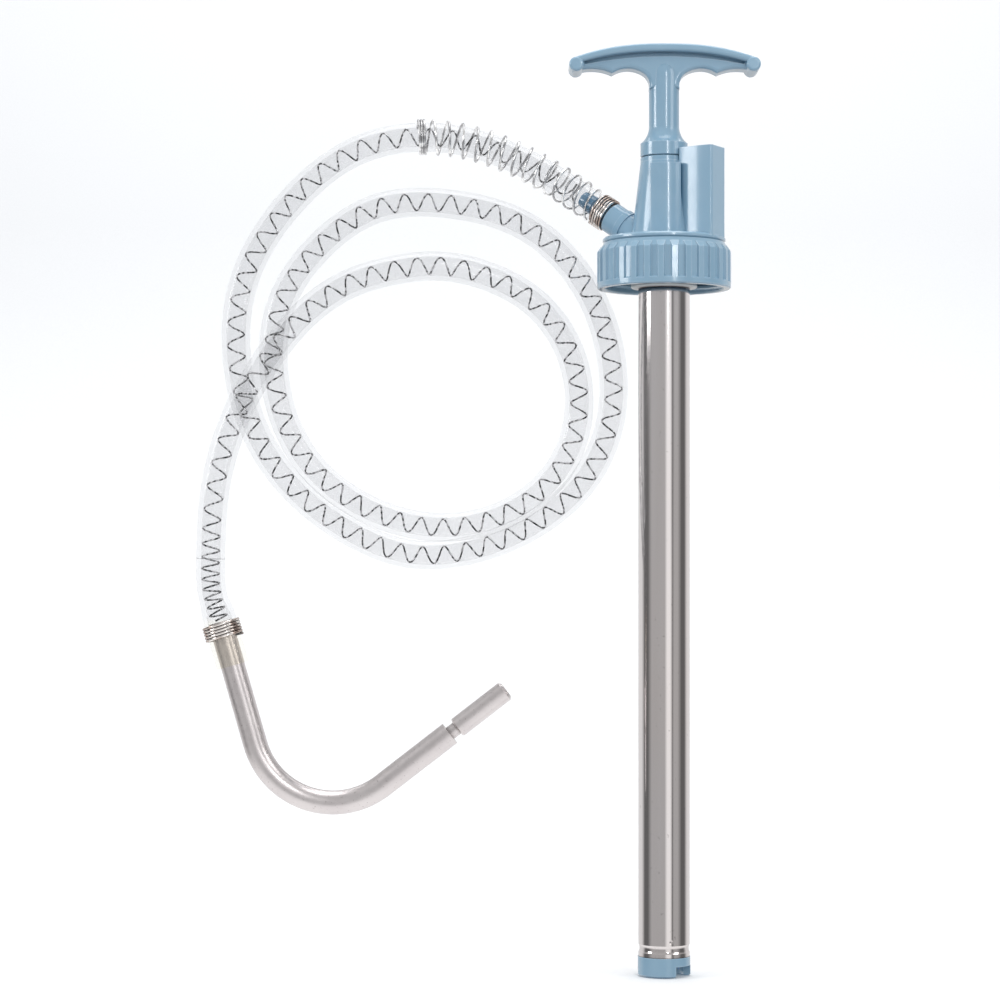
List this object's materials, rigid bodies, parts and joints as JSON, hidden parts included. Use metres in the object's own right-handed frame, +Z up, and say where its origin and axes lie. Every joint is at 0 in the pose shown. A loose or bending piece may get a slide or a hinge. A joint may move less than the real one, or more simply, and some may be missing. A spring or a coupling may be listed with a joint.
{
  "type": "drum barrel pump",
  "caption": "Hand lift pump for a plastic drum: T handle and piston rod, ring-nut head, suction tube with foot valve, coiled clear hose and bent spout.",
  "frame": {"origin": "on the pump's axis, in the plane where the gasket sits on the drum's neck", "axes": "+Z up along the suction tube towards the handle, +X along the T handle at rest, away from the coiled hose, -Y towards the side the spout holder leans to"},
  "size_m": [0.3492, 0.0949, 0.5754],
  "materials": {
    "blue_plastic": "gloss",
    "white_nylon": "satin",
    "seal_rubber": "matte",
    "tube_steel": "polished",
    "ball_steel": "satin",
    "clear_hose": "gloss",
    "spring_wire": "satin",
    "spout_aluminium": "satin"
  },
  "bodies": {
    "pump": {"pump_head": "blue_plastic", "gland_cap": "blue_plastic", "rod_seal": "seal_rubber", "tube_collar": "white_nylon", "tube_o_ring": "seal_rubber", "pump_tube": "tube_steel", "foot_valve_body": "blue_plastic", "foot_ball_pin": "ball_steel", "hose": "clear_hose", "hose_inner_spring": "spring_wire", "guard_spring": "spring_wire", "barb_clamp": "spring_wire", "spout_clamp": "spring_wire"},
    "ring_nut": {"ring_nut": "blue_plastic", "neck_gasket": "seal_rubber"},
    "piston_ring": {"piston_seal": "seal_rubber"},
    "rod": {"handle": "blue_plastic", "handle_pin": "ball_steel", "piston_rod": "ball_steel", "piston_body": "white_nylon", "piston_seat": "white_nylon", "piston_nut": "ball_steel"},
    "piston_valve": {"piston_valve": "seal_rubber"},
    "foot_ball": {"foot_ball": "ball_steel"},
    "spout": {"spout_tube": "spout_aluminium", "nozzle_tip": "spout_aluminium"},
    "drip_ball": {"drip_ball": "ball_steel", "drip_spring": "spring_wire"}
  },
  "joints": [
    {"name": "nut_turn", "type": "hinge", "parent": "pump", "child": "ring_nut", "pos_m": [0, 0, 0], "axis": [0, 0, 1], "continuous": true},
    {"name": "pump_stroke", "type": "slide", "parent": "pump", "child": "piston_ring", "axis": [0, 0, 1], "range_m": [0, 0.34]},
    {"name": "handle_turn", "type": "hinge", "parent": "piston_ring", "child": "rod", "pos_m": [0, 0, 0], "axis": [0, 0, 1], "continuous": true},
    {"name": "piston_valve_lift", "type": "slide", "parent": "rod", "child": "piston_valve", "axis": [0, 0, 1], "range_m": [0, 0.004]},
    {"name": "foot_ball_lift", "type": "slide", "parent": "pump", "child": "foot_ball", "axis": [0, 0, 1], "range_m": [0, 0.004]},
    {"name": "spout_twist", "type": "hinge", "parent": "pump", "child": "spout", "pos_m": [-0.2762, 0, -0.2229], "axis": [0.2756, 0, -0.9613], "range_deg": [-180, 180]},
    {"name": "drip_ball_lift", "type": "slide", "parent": "spout", "child": "drip_ball", "axis": [0.7912, 0, 0.6115], "range_m": [0, 0.0025], "stiffness_N_per_m": 120, "springref_m": -0.003, "deforming": ["drip_spring"]}
  ]
}
